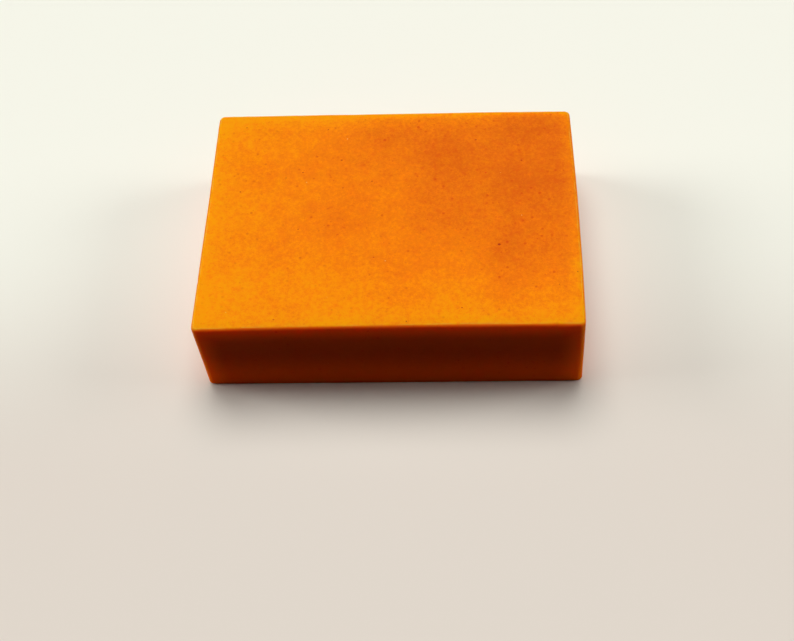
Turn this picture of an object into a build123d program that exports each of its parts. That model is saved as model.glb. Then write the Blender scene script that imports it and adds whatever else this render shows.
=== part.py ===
"""A hand-cut bar of soap: one solid block, four sides cut by eye, every edge eased.

The bar lies flat with its long sides along X and its front towards -Y.
The origin is on the surface it rests on, under the middle of the bar. All sizes are in millimetres.
"""

import os

from build123d import *

# Size of the block between its corners. The cuts weren't quite square, so the top face
# has a width of its own at each end
bar_length = 80.4
base_width = 60.3
top_left_width = 61.2
top_right_width = 60.5
bar_thickness = 20.5

# The end cuts leaned, so the top lies this far to the left of the base
cut_lean = 0.55

# How far the middle of each side leaves the straight line between its corners, on the
# top face, where the block was free to swell and shrink as it dried
front_hollow = 0.35
right_swell = 0.35
back_swell = 0.1
left_hollow = 0.05

# The same on the base, which dried against a board and stayed nearly straight
base_swell = 0.05

# Softness of the edges: the four upright corners, the rim of the top face, which is
# handled most, and the rim of the base
corner_radius = 1.25
top_rim_radius = 0.6
base_rim_radius = 0.4


def cut_outline(plane, middle_x, left_width, right_width, front_bow, right_bow, back_bow, left_bow):
    """Return the outline of the block on a level plane, as a face with eased corners.

    It runs clockwise seen from above, so a positive bow swells a side outwards.
    """
    left_x = middle_x - bar_length / 2
    right_x = middle_x + bar_length / 2
    with BuildSketch(plane) as outline:
        with BuildLine():
            left_side = SagittaArc((left_x, -left_width / 2), (left_x, left_width / 2), left_bow)
            back_side = SagittaArc(left_side @ 1, (right_x, right_width / 2), back_bow)
            right_side = SagittaArc(back_side @ 1, (right_x, -right_width / 2), right_bow)
            SagittaArc(right_side @ 1, left_side @ 0, front_bow)
        make_face()
        fillet(outline.vertices(), corner_radius)
    return outline.sketch


# The base leans to the right, square and nearly straight
base_outline = cut_outline(
    Plane.XY,
    middle_x=cut_lean / 2,
    left_width=base_width,
    right_width=base_width,
    front_bow=base_swell,
    right_bow=base_swell,
    back_bow=base_swell,
    left_bow=base_swell,
)

# The top leans to the left, narrower at the right end and hollow along the front
top_outline = cut_outline(
    Plane.XY.offset(bar_thickness),
    middle_x=-cut_lean / 2,
    left_width=top_left_width,
    right_width=top_right_width,
    front_bow=-front_hollow,
    right_bow=right_swell,
    back_bow=back_swell,
    left_bow=-left_hollow,
)

with BuildPart() as soap_bar:
    # Four sides and four upright corners, each ruled from the base to the top
    loft([base_outline, top_outline], ruled=True)

    # Ease the rim of each flat face
    top_face = soap_bar.faces().sort_by(Axis.Z)[-1]
    fillet(top_face.edges(), top_rim_radius)
    base_face = soap_bar.faces().sort_by(Axis.Z)[0]
    fillet(base_face.edges(), base_rim_radius)

soap_bar.part.label = "soap_bar"

os.makedirs("parts", exist_ok=True)
export_step(soap_bar.part, "parts/soap_bar.step")
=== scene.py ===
"""A hand-cut bar of soap on a pale table: its surface, its paste, the light and the camera.

Sizes are in metres, written as millimetres times MM. The bar lies flat with its front towards -Y.
"""

from __future__ import annotations

import logging
import math
from dataclasses import dataclass
from enum import Enum
from typing import Any, Union

import bpy
from mathutils import Matrix, Vector

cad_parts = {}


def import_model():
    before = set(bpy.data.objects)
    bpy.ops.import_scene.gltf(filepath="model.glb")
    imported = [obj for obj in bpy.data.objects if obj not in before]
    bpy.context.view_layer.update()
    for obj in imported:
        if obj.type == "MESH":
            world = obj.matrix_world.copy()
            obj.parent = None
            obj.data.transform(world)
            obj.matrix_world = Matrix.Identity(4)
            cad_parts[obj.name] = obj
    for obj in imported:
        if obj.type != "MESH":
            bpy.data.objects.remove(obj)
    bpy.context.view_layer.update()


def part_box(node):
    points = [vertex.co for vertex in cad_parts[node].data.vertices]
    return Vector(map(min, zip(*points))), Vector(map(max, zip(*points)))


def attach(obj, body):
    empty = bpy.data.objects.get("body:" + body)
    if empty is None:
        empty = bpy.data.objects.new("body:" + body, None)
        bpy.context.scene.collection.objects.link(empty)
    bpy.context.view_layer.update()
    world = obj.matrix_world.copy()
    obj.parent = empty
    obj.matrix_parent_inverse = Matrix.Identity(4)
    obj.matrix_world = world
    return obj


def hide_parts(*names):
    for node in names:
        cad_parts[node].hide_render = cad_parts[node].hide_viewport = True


log = logging.getLogger("soap")

MM = 0.001
BAR_NODE = "soap_bar"
BODY = "root"

# The attribute that keeps how near each point of the bar is to the middle of a rim, where the
# rims get their painted glow and highlight
RIM_MIDDLE = "rim_middle"

# A rim turns through a right angle, half of it on each side of its middle
HALF_RIM_TURN = math.radians(45)

# What keeps a division from having 0 under it: a part of a rim's turn, and a length in metres
LEAST_TURN = 0.001
LEAST_REACH = 1e-9

# The numbers of the sockets whose names a node uses more than once
MIX_FIRST, MIX_SECOND, MIX_RESULT = 6, 7, 2
RANDOM_LEAST, RANDOM_MOST, RANDOM_RESULT = 2, 3, 1

Colour = tuple[float, float, float, float]
Term = Union["Flow", float]


class Ease(Enum):
    """How a value runs from one limit to the other."""

    EVEN = "LINEAR"
    SMOOTH = "SMOOTHSTEP"


class Flow:
    """What leaves one socket of a node tree, ready for arithmetic."""

    def __init__(self, graph: Graph, socket: bpy.types.NodeSocket) -> None:
        """Wrap one output socket.

        Args:
            graph: The tree that the socket belongs to.
            socket: The output socket.
        """
        self.graph = graph
        self.socket = socket

    def __add__(self, other: Term) -> Flow:
        """Return the sum."""
        return self.graph.maths("ADD", self, other)

    __radd__ = __add__

    def __sub__(self, other: Term) -> Flow:
        """Return the difference."""
        return self.graph.maths("SUBTRACT", self, other)

    def __rsub__(self, other: Term) -> Flow:
        """Return a number less this value."""
        return self.graph.maths("SUBTRACT", other, self)

    def __mul__(self, other: Term) -> Flow:
        """Return the product."""
        return self.graph.maths("MULTIPLY", self, other)

    __rmul__ = __mul__

    def __truediv__(self, other: Term) -> Flow:
        """Return the quotient."""
        return self.graph.maths("DIVIDE", self, other)

    def __rtruediv__(self, other: Term) -> Flow:
        """Return a number divided by this value."""
        return self.graph.maths("DIVIDE", other, self)

    def __abs__(self) -> Flow:
        """Return the value without its sign."""
        return self.graph.maths("ABSOLUTE", self)

    def least(self, other: Term) -> Flow:
        """Return the lesser of this and another value."""
        return self.graph.maths("MINIMUM", self, other)

    def most(self, other: Term) -> Flow:
        """Return the greater of this and another value."""
        return self.graph.maths("MAXIMUM", self, other)

    def sign(self) -> Flow:
        """Return -1, 0 or 1."""
        return self.graph.maths("SIGN", self)

    def root(self) -> Flow:
        """Return the square root."""
        return self.graph.maths("SQRT", self)

    def tangent(self) -> Flow:
        """Return the tangent of this angle."""
        return self.graph.maths("TANGENT", self)


class Graph:
    """A node tree under construction."""

    def __init__(self, tree: bpy.types.NodeTree) -> None:
        """Start from a tree, which may hold nodes already."""
        self.tree = tree

    def node(
        self,
        kind: str,
        settings: dict[str, Any] | None = None,
        inputs: dict[str | int, Any] | None = None,
    ) -> bpy.types.Node:
        """Add any node.

        Args:
            kind: The node's type.
            settings: Its properties, set first.
            inputs: Its sockets, by name or number, with a value or a Flow to link.

        Returns:
            The new node.
        """
        made = self.tree.nodes.new(kind)
        for name, value in (settings or {}).items():
            setattr(made, name, value)
        for key, value in (inputs or {}).items():
            socket = made.inputs[key]
            if isinstance(value, Flow):
                self.tree.links.new(value.socket, socket)
            else:
                socket.default_value = value
        return made

    def flow(
        self,
        kind: str,
        settings: dict[str, Any] | None = None,
        inputs: dict[str | int, Any] | None = None,
        output: str | int = 0,
    ) -> Flow:
        """Add any node and return one of its outputs.

        Args:
            kind: The node's type.
            settings: Its properties.
            inputs: Its sockets, with values or Flows.
            output: The name or number of the output.

        Returns:
            That output.
        """
        return Flow(self, self.node(kind, settings, inputs).outputs[output])

    def maths(self, operation: str, *terms: Term) -> Flow:
        """Return the result of one Math node on one or two terms."""
        return self.flow("ShaderNodeMath", {"operation": operation}, dict(enumerate(terms)))

    def scaled(self, place: Flow, factor: Term) -> Flow:
        """Return a vector times a number."""
        inputs = {0: place, "Scale": factor}
        return self.flow("ShaderNodeVectorMath", {"operation": "SCALE"}, inputs)

    def joined(self, x: Term, y: Term, z: Term) -> Flow:
        """Return a vector from its three parts."""
        return self.flow("ShaderNodeCombineXYZ", inputs={"X": x, "Y": y, "Z": z})

    def parts(self, place: Flow) -> tuple[Flow, Flow, Flow]:
        """Return the three parts of a vector."""
        made = self.node("ShaderNodeSeparateXYZ", inputs={0: place})
        x, y, z = (Flow(self, output) for output in made.outputs)
        return x, y, z

    def mixed(self, share: Term, first: Any, second: Any) -> Flow:
        """Return a colour between two.

        Args:
            share: 0 gives the first colour and 1 the second.
            first: A colour or a Flow.
            second: A colour or a Flow.

        Returns:
            The mixed colour.
        """
        inputs = {0: share, MIX_FIRST: first, MIX_SECOND: second}
        return self.flow("ShaderNodeMix", {"data_type": "RGBA"}, inputs, MIX_RESULT)


@dataclass(frozen=True)
class Span:
    """Two limits of a value: 0 is read up to the start and the strength past the end.

    The end may be less than the start.
    """

    start: float
    end: float
    strength: float = 1.0
    ease: Ease = Ease.SMOOTH

    def of(self, value: Flow) -> Flow:
        """Return what a value reads, from 0 to the strength."""
        inputs = {
            "Value": value,
            "From Min": self.start,
            "From Max": self.end,
            "To Max": self.strength,
        }
        settings = {"interpolation_type": self.ease.value}
        return value.graph.flow("ShaderNodeMapRange", settings, inputs)


@dataclass(frozen=True)
class Clouds:
    """Soft noise: the size of its patches in metres, and its finer layers and their strength."""

    patch: float
    detail: float = 2.0
    roughness: float = 0.5
    strength: float = 1.0

    def of(self, place: Flow) -> Flow:
        """Return the noise at a place, about 0.5 and mostly between 0.25 and 0.75."""
        inputs = {
            "Vector": place,
            "Scale": 1.0 / self.patch,
            "Detail": self.detail,
            "Roughness": self.roughness,
        }
        return place.graph.flow("ShaderNodeTexNoise", inputs=inputs)

    def swing(self, place: Flow) -> Flow:
        """Return the noise at a place, about 0, times its strength."""
        return (self.of(place) - 0.5) * self.strength


class Recipe(Graph):
    """A geometry node tree with named inputs, run once to make a plain mesh."""

    def __init__(self, name: str, sizes: dict[str, float]) -> None:
        """Start the tree.

        Args:
            name: The tree's name.
            sizes: Its inputs and their values. A whole number makes a whole-number input.
        """
        super().__init__(bpy.data.node_groups.new(name, "GeometryNodeTree"))
        self.sizes = sizes
        sockets = self.tree.interface
        sockets.new_socket(name="Geometry", in_out="INPUT", socket_type="NodeSocketGeometry")
        sockets.new_socket(name="Geometry", in_out="OUTPUT", socket_type="NodeSocketGeometry")
        self.identifiers = {}
        for label, value in sizes.items():
            kind = "NodeSocketInt" if isinstance(value, int) else "NodeSocketFloat"
            made = sockets.new_socket(name=label, in_out="INPUT", socket_type=kind)
            self.identifiers[label] = made.identifier
        self.given = self.node("NodeGroupInput")

    def size(self, label: str) -> Flow:
        """Return one of the named inputs."""
        return Flow(self, self.given.outputs[label])

    def moved(self, geometry: Flow, place: Flow | None = None, offset: Flow | None = None) -> Flow:
        """Return the geometry with its points at another place, or shifted by an offset."""
        inputs = {"Geometry": geometry}
        if place is not None:
            inputs["Position"] = place
        if offset is not None:
            inputs["Offset"] = offset
        return self.flow("GeometryNodeSetPosition", inputs=inputs)

    def kept(self, geometry: Flow, name: str, value: Flow) -> Flow:
        """Return the geometry with a value kept at each point as a named attribute."""
        inputs = {"Geometry": geometry, "Name": name, "Value": value}
        return self.flow("GeometryNodeStoreNamedAttribute", {"data_type": "FLOAT"}, inputs)

    def drawn(self, least: float, most: float, seed: Flow) -> Flow:
        """Return a number drawn by chance for each point, between two limits."""
        inputs = {RANDOM_LEAST: least, RANDOM_MOST: most, "Seed": seed}
        return self.flow("FunctionNodeRandomValue", inputs=inputs, output=RANDOM_RESULT)

    def close(self, geometry: Flow, material: bpy.types.Material) -> None:
        """End the tree: smooth shading, no instances, and one material."""
        smooth = self.flow("GeometryNodeSetShadeSmooth", inputs={"Geometry": geometry})
        plain = self.flow("GeometryNodeRealizeInstances", inputs={"Geometry": smooth})
        dressed = self.flow(
            "GeometryNodeSetMaterial", inputs={"Geometry": plain, "Material": material}
        )
        self.node("NodeGroupOutput", inputs={"Geometry": dressed})

    def run(self, name: str, start: bpy.types.Mesh | None = None) -> bpy.types.Object:
        """Run the tree and keep its result as a plain mesh.

        Args:
            name: The piece's name.
            start: The mesh that the tree is given.

        Returns:
            The finished object, with no modifier left on it.
        """
        piece = bpy.data.objects.new(name, start or bpy.data.meshes.new(name))
        bpy.context.scene.collection.objects.link(piece)
        modifier = piece.modifiers.new(self.tree.name, "NODES")
        modifier.node_group = self.tree
        for label, value in self.sizes.items():
            modifier[self.identifiers[label]] = value
        depsgraph = bpy.context.evaluated_depsgraph_get()
        evaluated = piece.evaluated_get(depsgraph)
        result = bpy.data.meshes.new_from_object(evaluated, depsgraph=depsgraph)
        piece.modifiers.remove(modifier)
        piece.data = result
        result.name = name
        return piece


def blank_material(name: str) -> tuple[bpy.types.Material, Graph]:
    """Return a new material, and its tree with no nodes in it."""
    material = bpy.data.materials.new(name)
    material.use_nodes = True
    material.node_tree.nodes.clear()
    return material, Graph(material.node_tree)


def direction(azimuth: float, elevation: float) -> Vector:
    """Return the way out at two angles in degrees.

    Args:
        azimuth: 0 is out over the front side and 90 over the right end.
        elevation: 0 is level and 90 straight up.

    Returns:
        A vector 1 long.
    """
    turn, rise = math.radians(azimuth), math.radians(elevation)
    level = math.cos(rise)
    return Vector((math.sin(turn) * level, -math.cos(turn) * level, math.sin(rise)))


def report(piece: bpy.types.Object) -> None:
    """Log a finished piece's name and how many points and faces it has."""
    mesh = piece.data
    log.info("%s: %d points, %d faces", piece.name, len(mesh.vertices), len(mesh.polygons))


class Whereabouts:
    """Where a point of the bar is: its height as a share, and its distances from the faces."""

    def __init__(
        self, place: Flow, half_length: float, half_width: float, thickness: float
    ) -> None:
        """Measure the distances.

        Args:
            place: The point, in Object coordinates.
            half_length: Half the bar's length.
            half_width: Half its width.
            thickness: The height of its top face.
        """
        x, y, z = place.graph.parts(place)
        self.place = place
        self.x, self.y = x, y
        self.height = z / thickness
        self.below_top = thickness - z
        self.from_left, self.from_right = half_length + x, half_length - x
        self.from_front, self.from_back = half_width + y, half_width - y
        self.from_end = half_length - abs(x)
        self.from_side = half_width - abs(y)


@dataclass(frozen=True)
class TopToneAndPaintedLight:
    """How deep the colour of the top face is, where 0 is yellow and 1 is russet.

    It deepens from left to right, less so towards the front, partly the soap's own tone and
    partly painted shade. It pales towards every edge, a painted glow of light through the clear
    paste at the rims. The loss at the front edge grows to the right, as the depth does.
    """

    least: float = 0.33
    gain: float = 0.56
    # Deeper to the right: partly the soap's own tone and partly painted shade
    across: Span = Span(-33 * MM, 25 * MM, ease=Ease.EVEN)
    forward_loss: Span = Span(6 * MM, -18 * MM, 0.25)
    front_loss: Span = Span(-10 * MM, -24 * MM, 0.22)
    # Paler towards each edge: painted glow of light through the clear paste at the rims
    left_edge_loss: Span = Span(5 * MM, 0.0, 0.24)
    right_edge_loss: Span = Span(4 * MM, 0.0, 0.28)
    front_edge_loss: Span = Span(9 * MM, 0.0, 0.32)
    back_edge_loss: Span = Span(7 * MM, 0.0, 0.28)
    back_rim_loss: Span = Span(2.6 * MM, 0.0, 0.6)

    def depth(self, at: Whereabouts) -> Flow:
        """Return the depth of the colour at a point, before any mottling."""
        across = self.across.of(at.x)
        depth = self.least + across * (self.gain - self.forward_loss.of(at.y))
        depth = depth - self.front_loss.of(at.y)
        depth = depth - self.left_edge_loss.of(at.from_left)
        depth = depth - self.right_edge_loss.of(at.from_right)
        depth = depth - self.front_edge_loss.of(at.from_front) * across
        depth = depth - self.back_edge_loss.of(at.from_back)
        return depth - self.back_rim_loss.of(at.from_back)


@dataclass(frozen=True)
class TopTones:
    """The tones of the top face: yellow at its edges, a painted glow, and russet at the back
    right, partly the soap's own tone and partly painted shade.

    A fleck is redder, and makes the paste round it look warmer.
    """

    yellow: Colour = (0.99, 0.328, 0.0, 1.0)
    orange: Colour = (0.968, 0.258, 0.001, 1.0)
    russet: Colour = (0.68, 0.12, 0.003, 1.0)
    flush: Colour = (0.97, 0.1, 0.0, 1.0)
    tone_and_painted_light: TopToneAndPaintedLight = TopToneAndPaintedLight()
    deepest: float = 1.2
    to_orange: Span = Span(0.0, 0.4, ease=Ease.EVEN)
    to_russet: Span = Span(0.3, 1.0, ease=Ease.EVEN)
    fleck_warmth: float = 0.5

    def depth(self, at: Whereabouts, mottle: Flow) -> Flow:
        """Return how deep the colour is at a point, with its mottling."""
        return (self.tone_and_painted_light.depth(at) + mottle).least(self.deepest).most(0.0)

    def colour(self, graph: Graph, depth: Flow, fleck: Flow) -> Flow:
        """Return the colour for a depth, with its redder flecks."""
        warmth = self.to_orange.of(depth + fleck * self.fleck_warmth)
        warm = graph.mixed(warmth, self.yellow, self.orange)
        top = graph.mixed(self.to_russet.of(depth), warm, self.russet)
        return graph.mixed(fleck.most(0.0), top, self.flush)


@dataclass(frozen=True)
class SideTones:
    """The tones of the cut sides: redder than the top and darker in a band across the middle,
    painted shade, and lighter near the top, the rims and the upright corners, a painted glow of
    light through the clear paste.

    The painted tones are at their strongest on the front side. The height of the band of painted
    shade is a share of the thickness, and so are its limits.
    """

    # Redder than the top face: painted shade
    plain: Colour = (0.832, 0.122, 0.001, 1.0)
    painted_shade: Colour = (0.6, 0.075, 0.001, 1.0)
    # Painted glow of light through the clear paste
    glow: Colour = (0.99, 0.22, 0.003, 1.0)
    off_front: float = 0.45
    front_gain: Span = Span(3 * MM, 0.4 * MM, 0.55)
    painted_shade_height: float = 0.53
    painted_shade_band: Span = Span(0.37, 0.0, 0.75)
    mottling: float = 0.5
    upper_glow: Span = Span(5 * MM, 0.8 * MM)
    rim_glow: Span = Span(1.4 * MM, 0.5 * MM)
    corner_glow: Span = Span(6 * MM, 0.3 * MM, 0.8)
    corner_reach: Span = Span(2.5 * MM, 0.3 * MM)

    def colour(self, graph: Graph, at: Whereabouts, mottle: Flow) -> Flow:
        """Return the colour of the sides at a point, with its painted shade and glow."""
        front = self.off_front + self.front_gain.of(at.from_front)
        # Painted shade: a darker band across the middle of each side
        band = self.painted_shade_band.of(abs(at.height - self.painted_shade_height))
        side = graph.mixed(band * front + mottle * self.mottling, self.plain, self.painted_shade)
        # Painted glow near the upright corners, near the top and along the top rim
        corner = self.corner_glow.of(at.from_end) * self.corner_reach.of(at.from_side)
        glow = self.upper_glow.of(at.below_top).most(corner) * front
        glow = glow.most(self.rim_glow.of(at.below_top))
        return graph.mixed(glow, side, self.glow)


@dataclass(frozen=True)
class PaintedRimLight:
    """What is painted on the rims: a redder band, a painted glow of light through the clear paste,
    and a thin pale line with gaps in it, a painted highlight.

    The band isn't redder at the two ends.
    """

    # The colours of the painted red glow and of the painted highlight
    red: Colour = (0.99, 0.14, 0.003, 1.0)
    pale: Colour = (0.99, 0.42, 0.06, 1.0)
    red_by_rim_middle: Span = Span(0.1, 0.7, 0.8)
    red_depth: Span = Span(1.2 * MM, 0.4 * MM)
    red_length: Span = Span(0.5 * MM, 1.8 * MM)
    line_start: Span = Span(0.0, 0.12, 0.7)
    line_end: Span = Span(0.4, 0.2)
    gap_clouds: Clouds = Clouds(4 * MM)
    gap_end: Span = Span(0.35, 0.6)

    def over(self, graph: Graph, at: Whereabouts, on_top: Flow, paste: Flow) -> Flow:
        """Return the paste's colour with the painted rim glow and highlight over it.

        Args:
            graph: The tree.
            at: The point.
            on_top: 1 on the top face, 0 below it.
            paste: The colour of the paste there.

        Returns:
            The colour with the wear.
        """
        rim_middle = graph.flow("ShaderNodeAttribute", {"attribute_name": RIM_MIDDLE}, output="Fac")
        # Painted red glow just below the top along the rims, not at the ends
        redness = self.red_by_rim_middle.of(rim_middle) * self.red_depth.of(at.below_top)
        paste = graph.mixed(redness * self.red_length.of(at.from_end), paste, self.red)
        # Painted highlight: a thin pale line along the top rims, broken by gaps
        line = self.line_start.of(rim_middle) * self.line_end.of(rim_middle) * on_top
        line = line * self.gap_end.of(self.gap_clouds.of(at.place))
        return graph.mixed(line, paste, self.pale)


@dataclass(frozen=True)
class Specks:
    """Small soft dots in the paste, no two alike. The radius is that of the largest."""

    spacing: float
    radius: float
    strength: float = 1.0
    core_share: float = 0.3
    chance: Span = Span(0.2, 1.1)

    def of(self, place: Flow) -> Flow:
        """Return 0 between the dots and up to the strength in the middle of one."""
        graph = place.graph
        inputs = {"Vector": place, "Scale": 1.0 / self.spacing}
        cells = graph.node("ShaderNodeTexVoronoi", inputs=inputs)
        away = Flow(graph, cells.outputs["Distance"]) * self.spacing
        chance, _, _ = graph.parts(Flow(graph, cells.outputs["Color"]))
        dot = Span(self.radius, self.core_share * self.radius, self.strength)
        return dot.of(away) * self.chance.of(chance)


@dataclass(frozen=True)
class SoapPaste:
    """The finish of the soap: warm orange, slightly clear, dull, with grains of spice all through.

    The specks are stronger where the colour of the top is deeper. Light goes as far as the
    scatter depth into the paste in red, and a share of that in green and in blue.
    """

    half_length: float
    half_width: float
    thickness: float
    name: str = "soap_paste"
    top: TopTones = TopTones()
    sides: SideTones = SideTones()
    rims: PaintedRimLight = PaintedRimLight()
    top_skin: Span = Span(0.22 * MM, 0.0)
    flecks: Clouds = Clouds(0.9 * MM, 3.0, 1.0, 1.3)
    small_mottle: Clouds = Clouds(3.4 * MM, 0.0, strength=0.24)
    large_mottle: Clouds = Clouds(14 * MM, 0.4, strength=0.46)
    spice: Colour = (0.66, 0.045, 0.0005, 1.0)
    small_specks: Specks = Specks(1.3 * MM, 0.26 * MM, 0.8)
    large_specks: Specks = Specks(1.9 * MM, 0.46 * MM)
    least_speck: float = 0.3
    speck_gain: float = 0.65
    roughness: float = 0.62
    roughness_clouds: Clouds = Clouds(6 * MM, strength=0.18)
    gloss: float = 0.02
    grain_clouds: Clouds = Clouds(0.9 * MM, 3.0, 0.8)
    grain_strength: float = 0.35
    grain_depth: float = 0.08 * MM
    scatter_depth: float = 3.5 * MM
    scatter_shares: tuple[float, float, float] = (1.0, 0.25, 0.05)

    def make(self) -> bpy.types.Material:
        """Build the material.

        Returns:
            The finished material.
        """
        material, graph = blank_material(self.name)
        place = graph.flow("ShaderNodeTexCoord", output="Object")
        inputs = {
            "Base Color": self.paste_colour(graph, place),
            "Roughness": self.roughness + self.roughness_clouds.swing(place),
            "Specular IOR Level": self.gloss,
            "Subsurface Weight": 1.0,
            "Subsurface Radius": self.scatter_shares,
            "Subsurface Scale": self.scatter_depth,
            "Normal": self.grain(graph, place),
        }
        surface = graph.flow("ShaderNodeBsdfPrincipled", inputs=inputs)
        graph.node("ShaderNodeOutputMaterial", inputs={"Surface": surface})
        return material

    def paste_colour(self, graph: Graph, place: Flow) -> Flow:
        """Return the colour of the paste with its mottling, its specks, and its painted light and
        shade.
        """
        at = Whereabouts(place, self.half_length, self.half_width, self.thickness)
        fleck = self.flecks.swing(place)
        mottle = self.large_mottle.swing(place) + self.small_mottle.swing(place) + fleck
        # The top's depth carries painted shade and a painted glow at its edges
        depth = self.top.depth(at, mottle)
        top = self.top.colour(graph, depth, fleck)
        # The sides' colour carries painted shade and painted glow
        side = self.sides.colour(graph, at, mottle)
        on_top = self.top_skin.of(at.below_top)
        paste = graph.mixed(on_top, side, top)
        # Painted red glow and painted highlight along the rims
        paste = self.rims.over(graph, at, on_top, paste)
        specks = self.large_specks.of(place).most(self.small_specks.of(place))
        specks = specks * (self.least_speck + self.speck_gain * depth)
        return graph.mixed(specks, paste, self.spice)

    def grain(self, graph: Graph, place: Flow) -> Flow:
        """Return the fine unevenness of the surface as a bumped normal."""
        inputs = {
            "Strength": self.grain_strength,
            "Distance": self.grain_depth,
            "Height": self.grain_clouds.of(place),
        }
        return graph.flow("ShaderNodeBump", inputs=inputs)


@dataclass
class SoapBlock:
    """The bar as one closed mesh: the cut block, its eased rims and its hand-made unevenness.

    Handling makes a rim's radius vary from place to place. Its clouds are read on the cube that
    the mesh starts from, which runs from -1 to 1.
    """

    low: Vector
    high: Vector
    cut_lean: float = 0.55 * MM
    base_loss: float = 0.9 * MM
    right_end_loss: float = 0.7 * MM
    front_hollow: float = 0.35 * MM
    right_swell: float = 0.35 * MM
    back_swell: float = 0.1 * MM
    left_hollow: float = 0.05 * MM
    base_swell: float = 0.05 * MM
    corner_radius: float = 1.25 * MM
    top_rim_radius: float = 0.6 * MM
    base_rim_radius: float = 0.4 * MM
    rim_rows: int = 5
    row_spacing: float = 0.5 * MM
    base_to_top: Span = Span(-0.5, 0.5, ease=Ease.EVEN)
    handling: Clouds = Clouds(0.22, 3.0, 0.6, 0.9)
    wave_depth: float = 0.12 * MM
    waves: Clouds = Clouds(24 * MM, 1.0)
    ripples: Clouds = Clouds(5 * MM, strength=0.4)
    dent_depth: float = 0.06 * MM
    dent: Span = Span(0.9 * MM, 0.0)
    dents_per_square_metre: float = 8000.0
    above_base: Span = Span(0.3 * MM, 3.0 * MM)
    seed: int = 3

    @property
    def length(self) -> float:
        """The distance between the ends' corners."""
        return self.high.x - self.low.x - self.cut_lean - self.base_swell

    @property
    def width(self) -> float:
        """The distance between the corners of the top face at the left end, where it is widest."""
        return self.high.y - self.low.y

    @property
    def thickness(self) -> float:
        """The height of the block."""
        return self.high.z - self.low.z

    def cells(self, extent: float) -> int:
        """Return how many rows of faces a side of this extent gets, with those of both rims."""
        return round(extent / self.row_spacing) + 2 * self.rim_rows

    def sizes(self) -> dict[str, float]:
        """Return the recipe's inputs."""
        return {
            "Length": self.length,
            "Width": self.width,
            "Thickness": self.thickness,
            "Base Loss": self.base_loss,
            "Right End Loss": self.right_end_loss,
            "Lean": self.cut_lean,
            "Front Bow": -self.front_hollow,
            "Right Bow": self.right_swell,
            "Back Bow": self.back_swell,
            "Left Bow": -self.left_hollow,
            "Base Bow": self.base_swell,
            "Corner Radius": self.corner_radius,
            "Top Rim Radius": self.top_rim_radius,
            "Base Rim Radius": self.base_rim_radius,
            "Rim Rows": self.rim_rows,
            "Cells X": self.cells(self.length),
            "Cells Y": self.cells(self.width),
            "Cells Z": self.cells(self.thickness),
            "Wave Depth": self.wave_depth,
            "Dent Depth": self.dent_depth,
            "Dent Density": self.dents_per_square_metre,
            "Seed": self.seed,
        }

    def build(self, material: bpy.types.Material) -> bpy.types.Object:
        """Make the bar's mesh.

        Args:
            material: The soap's finish.

        Returns:
            The finished piece.
        """
        recipe = Recipe("Cut block", self.sizes())
        grid = self.starting_grid(recipe)
        marked = recipe.kept(grid, RIM_MIDDLE, self.rim_middle(recipe))
        rounded = recipe.moved(marked, place=self.rounded_place(recipe))
        cut = recipe.moved(rounded, place=self.cut_place(recipe))
        worn = recipe.moved(cut, offset=self.relief(recipe, cut))
        recipe.close(worn, material)
        return recipe.run("soap_bar_body")

    def starting_grid(self, recipe: Recipe) -> Flow:
        """Return a cube from -1 to 1 with the rows of faces that the bar needs."""
        inputs = {"Size": (2.0, 2.0, 2.0)}
        for axis in "XYZ":
            inputs[f"Vertices {axis}"] = recipe.size(f"Cells {axis}") + 1.0
        return recipe.flow("GeometryNodeMeshCube", inputs=inputs)

    def rows(self, recipe: Recipe, place: Flow, axis: str) -> tuple[Flow, Flow]:
        """Divide one coordinate of the cube between the flat part and the rim.

        Args:
            recipe: The tree.
            place: The coordinate, from -1 to 1.
            axis: Its letter.

        Returns:
            How far across the flat part the point is, from 0 to 1, and how far it is past that,
            where 1 is the edge and the rows of the rim are even steps of angle.
        """
        flat = 1.0 - 2.0 * recipe.size("Rim Rows") / recipe.size(f"Cells {axis}")
        across = (abs(place) / flat).least(1.0)
        past = ((abs(place) - flat) / (1.0 - flat)).most(0.0)
        return across, (past * HALF_RIM_TURN).tangent()

    def rim_middle(self, recipe: Recipe) -> Flow:
        """Return 1 along the middle of each rim and corner, falling to 0 on the flat faces."""
        u, v, w = recipe.parts(recipe.flow("GeometryNodeInputPosition"))
        past_u, past_v, past_w = (
            self.rows(recipe, place, axis)[1] for place, axis in ((u, "X"), (v, "Y"), (w, "Z"))
        )
        return past_u.least(past_v).most(past_u.most(past_v).least(past_w))

    def rounded_place(self, recipe: Recipe) -> Flow:
        """Return each point's place on a straight block with rounded rims and corners."""
        place = recipe.flow("GeometryNodeInputPosition")
        u, v, w = recipe.parts(place)
        across_u, past_u = self.rows(recipe, u, "X")
        across_v, past_v = self.rows(recipe, v, "Y")
        across_w, past_w = self.rows(recipe, w, "Z")

        top, base = recipe.size("Top Rim Radius"), recipe.size("Base Rim Radius")
        rim = base + (top - base) * self.base_to_top.of(w)
        along = recipe.joined(u * across_u, v * across_v, w.sign())
        rim = rim * (1.0 + self.handling.swing(along))

        outward = past_u.most(past_v)
        turn = 1.0 / (outward * outward + past_w * past_w).root().most(LEAST_TURN)
        half_x, half_y = recipe.size("Length") / 2.0, recipe.size("Width") / 2.0
        half_z = recipe.size("Thickness") / 2.0
        x = across_u * (half_x - rim) + rim * past_u * turn
        y = across_v * (half_y - rim) + rim * past_v * turn
        z = half_z + w.sign() * (across_w * (half_z - rim) + rim * past_w * turn)

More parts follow.
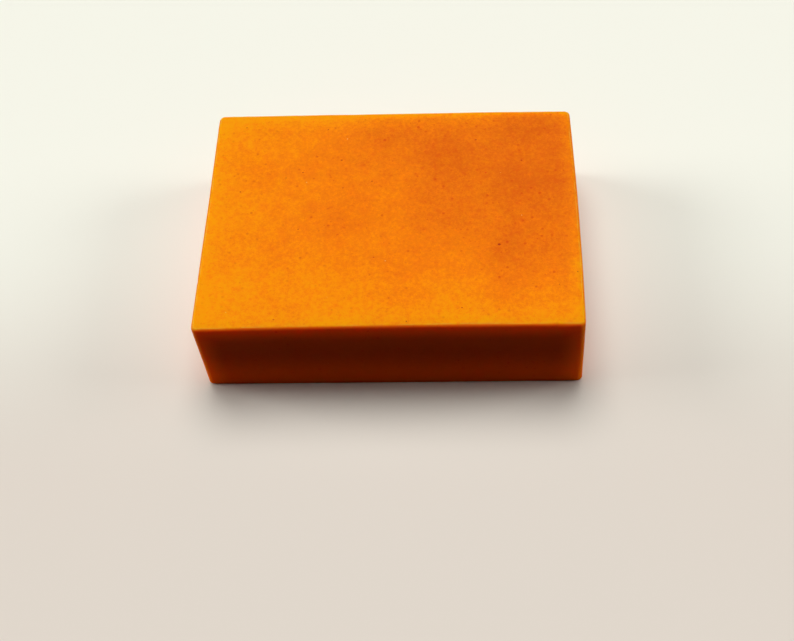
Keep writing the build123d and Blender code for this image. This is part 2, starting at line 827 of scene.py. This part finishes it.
        corner = recipe.size("Corner Radius")
        over_x = (x - (half_x - corner)).most(0.0)
        over_y = (y - (half_y - corner)).most(0.0)
        reach = (over_x * over_x + over_y * over_y).root().most(LEAST_REACH)
        trim = 1.0 - over_x.most(over_y) / reach
        trim = trim * over_x.sign() * over_y.sign()
        return recipe.joined(u.sign() * (x - over_x * trim), v.sign() * (y - over_y * trim), z)

    def cut_place(self, recipe: Recipe) -> Flow:
        """Return each point's place after the sides are bowed, tapered and leant."""
        x, y, z = recipe.parts(recipe.flow("GeometryNodeInputPosition"))
        right = x / recipe.size("Length") + 0.5
        back = y / recipe.size("Width") + 0.5
        height = z / recipe.size("Thickness")

        def bow(side: str) -> Flow:
            """Return how far the middle of a side is bowed out at this height."""
            base = recipe.size("Base Bow")
            return base + (recipe.size(f"{side} Bow") - base) * height

        hump_x = 4.0 * right * (1.0 - right)
        hump_y = 4.0 * back * (1.0 - back)
        shift_x = (bow("Right") * right - bow("Left") * (1.0 - right)) * hump_y
        shift_y = (bow("Back") * back - bow("Front") * (1.0 - back)) * hump_x
        loss = height * right * recipe.size("Right End Loss")
        loss = loss + (1.0 - height) * recipe.size("Base Loss")
        taper = 1.0 - loss / recipe.size("Width")
        lean = recipe.size("Lean") * (0.5 - height)
        return recipe.joined(x + shift_x + lean, y * taper + shift_y, z)

    def relief(self, recipe: Recipe, cut: Flow) -> Flow:
        """Return how far each point is pushed in or out: slow waves, ripples and shallow dents."""
        place = recipe.flow("GeometryNodeInputPosition")
        normal = recipe.flow("GeometryNodeInputNormal")
        _, _, z = recipe.parts(place)
        waves = self.waves.swing(place) + self.ripples.swing(place)
        inputs = {
            "Mesh": cut,
            "Density": recipe.size("Dent Density"),
            "Seed": recipe.size("Seed"),
        }
        marks = recipe.flow("GeometryNodeDistributePointsOnFaces", inputs=inputs)
        away = recipe.flow(
            "GeometryNodeProximity", {"target_element": "POINTS"}, {0: marks}, "Distance"
        )
        dents = self.dent.of(away) * recipe.size("Dent Depth")
        height = waves * recipe.size("Wave Depth") - dents
        return recipe.scaled(normal, height * self.above_base.of(z))


@dataclass(frozen=True)
class GrainFinish:
    """The finish of the grains in the paste: dull, from one tone to another."""

    name: str
    dark: Colour
    light: Colour
    tone_clouds: Clouds = Clouds(3.1 * MM)
    tones: Span = Span(0.35, 0.65)
    roughness: float = 0.7
    gloss: float = 0.03

    def make(self) -> bpy.types.Material:
        """Build the material.

        Returns:
            The finished material.
        """
        material, graph = blank_material(self.name)
        place = graph.flow("ShaderNodeTexCoord", output="Object")
        tone = self.tones.of(self.tone_clouds.of(place))
        inputs = {
            "Base Color": graph.mixed(tone, self.dark, self.light),
            "Roughness": self.roughness,
            "Specular IOR Level": self.gloss,
        }
        surface = graph.flow("ShaderNodeBsdfPrincipled", inputs=inputs)
        graph.node("ShaderNodeOutputMaterial", inputs={"Surface": surface})
        return material


@dataclass
class Grains:
    """Small flat grains at the surface of the soap: some by chance, some in known places.

    A known place is its x and y in millimetres on the top face, and the grain's radius there. The
    density is that of the grains by chance, to the square metre. A grain is round when its
    stretch is 1.
    """

    name: str
    density: float
    smallest: float
    largest: float
    seed: int
    known: tuple[tuple[float, float, float], ...]
    top: float
    lowest: float = 1.5 * MM
    flatness: float = 0.3
    least_stretch: float = 0.6
    known_stretch: float = 0.8
    subdivisions: int = 2

    def build(self, skin: bpy.types.Mesh, material: bpy.types.Material) -> bpy.types.Object:
        """Scatter the grains over the bar.

        Args:
            skin: The bar's own mesh.
            material: The grains' finish.

        Returns:
            One piece that holds all the grains.
        """
        sizes = {
            "Density": self.density,
            "Smallest": self.smallest,
            "Largest": self.largest,
            "Flatness": self.flatness,
            "Lowest": self.lowest,
            "Top": self.top,
            "Seed": self.seed,
        }
        recipe = Recipe(self.name, sizes)
        by_chance = self.scattered(recipe)
        in_place = self.placed(recipe)
        both = recipe.node("GeometryNodeJoinGeometry")
        for part in (by_chance, in_place):
            recipe.tree.links.new(part.socket, both.inputs["Geometry"])
        recipe.close(Flow(recipe, both.outputs["Geometry"]), material)
        return recipe.run(self.name, skin.copy())

    def grain(self, recipe: Recipe) -> Flow:
        """Return one grain of radius 1."""
        inputs = {"Radius": 1.0, "Subdivisions": self.subdivisions}
        return recipe.flow("GeometryNodeMeshIcoSphere", inputs=inputs)

    def scattered(self, recipe: Recipe) -> Flow:
        """Return the grains that lie by chance, small ones more often than large ones."""
        seed = recipe.size("Seed")
        _, _, z = recipe.parts(recipe.flow("GeometryNodeInputPosition"))
        heights = {"A": z, "B": recipe.size("Lowest")}
        above_base = recipe.flow("FunctionNodeCompare", {"operation": "GREATER_THAN"}, heights)
        inputs = {
            "Mesh": Flow(recipe, recipe.given.outputs["Geometry"]),
            "Selection": above_base,
            "Density": recipe.size("Density"),
            "Seed": seed,
        }
        spread = recipe.node("GeometryNodeDistributePointsOnFaces", inputs=inputs)
        chance = recipe.drawn(0.0, 1.0, seed)
        smallest, largest = recipe.size("Smallest"), recipe.size("Largest")
        radius = smallest + (largest - smallest) * chance * chance * chance
        stretch = recipe.drawn(self.least_stretch, 1.0, seed + 1.0)
        inputs = {
            "Points": Flow(recipe, spread.outputs["Points"]),
            "Instance": self.grain(recipe),
            "Rotation": Flow(recipe, spread.outputs["Rotation"]),
            "Scale": recipe.joined(radius, radius * stretch, radius * recipe.size("Flatness")),
        }
        return recipe.flow("GeometryNodeInstanceOnPoints", inputs=inputs)

    def placed(self, recipe: Recipe) -> Flow:
        """Return the grains whose places are known."""
        points = recipe.node("GeometryNodeJoinGeometry")
        for x, y, radius in self.known:
            place = recipe.joined(x * MM, y * MM, recipe.size("Top"))
            inputs = {"Count": 1, "Position": place, "Radius": radius * MM}
            point = recipe.flow("GeometryNodePoints", inputs=inputs)
            recipe.tree.links.new(point.socket, points.inputs["Geometry"])
        radius = recipe.flow("GeometryNodeInputRadius")
        inputs = {
            "Points": Flow(recipe, points.outputs["Geometry"]),
            "Instance": self.grain(recipe),
            "Scale": recipe.joined(
                radius, radius * self.known_stretch, radius * recipe.size("Flatness")
            ),
        }
        return recipe.flow("GeometryNodeInstanceOnPoints", inputs=inputs)


def spice_grains(top: float) -> Grains:
    """Return the dark grains, the strongest of them where the real bar has them."""
    known = (
        (23.0, -9.0, 0.33),
        (28.5, 15.0, 0.225),
        (20.5, 11.5, 0.225),
        (18.5, 21.5, 0.2),
        (-20.0, 12.5, 0.2),
        (-15.0, 25.5, 0.185),
        (-11.5, 16.0, 0.225),
        (-4.5, 9.5, 0.185),
        (-20.0, -4.0, 0.185),
        (-33.5, 7.0, 0.2),
        (15.0, -25.5, 0.2),
        (-23.5, -28.0, 0.21),
        (-3.5, -12.0, 0.21),
    )
    return Grains(
        "spice_grains",
        density=2800.0,
        smallest=0.06 * MM,
        largest=0.2 * MM,
        seed=11,
        known=known,
        top=top,
    )


def pale_grains(top: float) -> Grains:
    """Return the few pale grains, the strongest of them where the real bar has them."""
    known = (
        (-10.5, 22.5, 0.12),
        (-19.0, 9.5, 0.13),
        (28.0, -1.0, 0.11),
        (-1.0, -13.0, 0.12),
        (-33.5, -26.0, 0.12),
    )
    return Grains(
        "pale_grains",
        density=900.0,
        smallest=0.05 * MM,
        largest=0.1 * MM,
        seed=23,
        known=known,
        top=top,
    )


@dataclass(frozen=True)
class Lamp:
    """One soft white lamp, far away. Its spread is the angle that it covers in the sky."""

    name: str
    azimuth: float
    elevation: float
    strength: float
    spread: float

    def place(self) -> None:
        """Hang the lamp."""
        data = bpy.data.lights.new(self.name, "SUN")
        data.energy = self.strength
        data.angle = math.radians(self.spread)
        lamp = bpy.data.objects.new(self.name, data)
        towards = direction(self.azimuth, self.elevation)
        lamp.rotation_mode = "QUATERNION"
        lamp.rotation_quaternion = towards.to_track_quat("Z", "Y")
        lamp.location = towards
        bpy.context.scene.collection.objects.link(lamp)


@dataclass(frozen=True)
class Studio:
    """The pale table, the surrounding light and the lamps.

    What the camera sees of the table and of the surroundings is paler than the light that they
    throw on the bar. The table is painted darker and warmer in front of the bar, a painted shade,
    and throws more light on its foot.
    """

    bar_half_length: float
    bar_half_width: float
    table_half: float = 3.0
    table_far: Colour = (0.885, 0.885, 0.785, 1.0)
    # Painted shade: the table's colour in front of the bar
    table_near: Colour = (0.72, 0.655, 0.58, 1.0)
    around_bar: Span = Span(0.45, 0.14)
    towards_front: Span = Span(15 * MM, -58 * MM)
    bounce_near: Colour = (0.59, 0.27, 0.105, 1.0)
    bounce_far: Colour = (0.045, 0.02, 0.01, 1.0)
    past_foot: Span = Span(4 * MM, 19 * MM)
    sky_seen: Colour = (0.925, 0.925, 0.822, 1.0)
    sky_light: Colour = (0.011, 0.0085, 0.006, 1.0)
    lamps: tuple[Lamp, ...] = (
        Lamp("main", azimuth=188.0, elevation=68.0, strength=2.3, spread=40.0),
        Lamp("left", azimuth=262.0, elevation=24.0, strength=1.56, spread=30.0),
        Lamp("right", azimuth=98.0, elevation=24.0, strength=1.15, spread=30.0),
    )

    def build(self) -> None:
        """Make the table, the sky and the lamps."""
        self.lay_table()
        self.paint_sky()
        for lamp in self.lamps:
            lamp.place()

    def seen_directly(self, graph: Graph) -> Flow:
        """Return 1 for what the camera sees, straight or in a shine, and 0 for stray light."""
        path = graph.node("ShaderNodeLightPath")
        names = ("Is Camera Ray", "Is Glossy Ray", "Is Transmission Ray")
        camera, glossy, through = (Flow(graph, path.outputs[name]) for name in names)
        return (camera + glossy + through).least(1.0)

    def lay_table(self) -> None:
        """Make the table top, level with the bar's base."""
        half = self.table_half
        mesh = bpy.data.meshes.new("table_top")
        corners = [(-half, -half, 0.0), (half, -half, 0.0), (half, half, 0.0), (-half, half, 0.0)]
        mesh.from_pydata(corners, [], [(0, 1, 2, 3)])
        table = bpy.data.objects.new("table_top", mesh)
        bpy.context.scene.collection.objects.link(table)
        material, graph = blank_material("table_top")
        x, y, _ = graph.parts(graph.flow("ShaderNodeTexCoord", output="Object"))
        # Painted shade: darker and warmer in front of the bar, fading with distance
        warmth = self.around_bar.of((x * x + y * y).root()) * self.towards_front.of(y)
        seen = graph.mixed(warmth, self.table_far, self.table_near)
        away = (abs(x) - self.bar_half_length).most(abs(y) - self.bar_half_width)
        bounce = graph.mixed(self.past_foot.of(away), self.bounce_near, self.bounce_far)
        colour = graph.mixed(self.seen_directly(graph), bounce, seen)
        surface = graph.flow("ShaderNodeBsdfDiffuse", inputs={"Color": colour})
        graph.node("ShaderNodeOutputMaterial", inputs={"Surface": surface})
        mesh.materials.append(material)

    def paint_sky(self) -> None:
        """Give the surroundings their light, and a pale colour where they are seen."""
        world = bpy.data.worlds.new("surroundings")
        bpy.context.scene.world = world
        world.use_nodes = True
        graph = Graph(world.node_tree)
        world.node_tree.nodes.clear()
        colour = graph.mixed(self.seen_directly(graph), self.sky_light, self.sky_seen)
        light = graph.flow("ShaderNodeBackground", inputs={"Color": colour})
        graph.node("ShaderNodeOutputWorld", inputs={"Surface": light})


@dataclass(frozen=True)
class Viewpoint:
    """Where the photograph was taken from, worked out from the bar's corners in it."""

    aim: tuple[float, float, float] = (0.49 * MM, -13.61 * MM, 0.0)
    distance: float = 290.7 * MM
    azimuth: float = 5.01
    elevation: float = 53.79
    roll: float = -4.72
    lens: float = 59.25
    sensor: float = 36.0
    nearest: float = 1 * MM

    def place(self) -> None:
        """Make the camera and hand it to the scene."""
        back = direction(self.azimuth, self.elevation)
        right = direction(self.azimuth + 90.0, 0.0)
        up = back.cross(right)
        tilt = Matrix((right, up, back)).transposed()
        tilt = tilt @ Matrix.Rotation(math.radians(self.roll), 3, "Z")
        data = bpy.data.cameras.new("camera")
        data.sensor_width = self.sensor
        data.lens = self.lens
        data.clip_start = self.nearest
        camera = bpy.data.objects.new("camera", data)
        stand = Vector(self.aim) + back * self.distance
        camera.matrix_world = Matrix.Translation(stand) @ tilt.to_4x4()
        bpy.context.scene.collection.objects.link(camera)
        bpy.context.scene.camera = camera


def main() -> None:
    """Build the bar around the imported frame, then light it and place the camera."""
    logging.basicConfig(level=logging.INFO, format="%(name)s: %(message)s")
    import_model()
    bpy.context.scene.view_settings.view_transform = "Standard"

    block = SoapBlock(*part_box(BAR_NODE))
    paste = SoapPaste(block.length / 2, block.width / 2, block.thickness)
    body = block.build(paste.make())
    spice = GrainFinish("spice", dark=(0.4, 0.01, 0.001, 1.0), light=(0.75, 0.06, 0.001, 1.0))
    # The finish of the pale grains, a pale orange
    pale_finish = GrainFinish("pale_finish", dark=(0.95, 0.55, 0.16, 1.0), light=(0.98, 0.72, 0.36, 1.0))
    dark = spice_grains(block.thickness).build(body.data, spice.make())
    pale = pale_grains(block.thickness).build(body.data, pale_finish.make())
    for piece in (body, dark, pale):
        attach(piece, BODY)
        report(piece)
    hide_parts(BAR_NODE)

    Studio(block.length / 2, block.width / 2).build()
    Viewpoint().place()


if __name__ == "__main__":
    main()
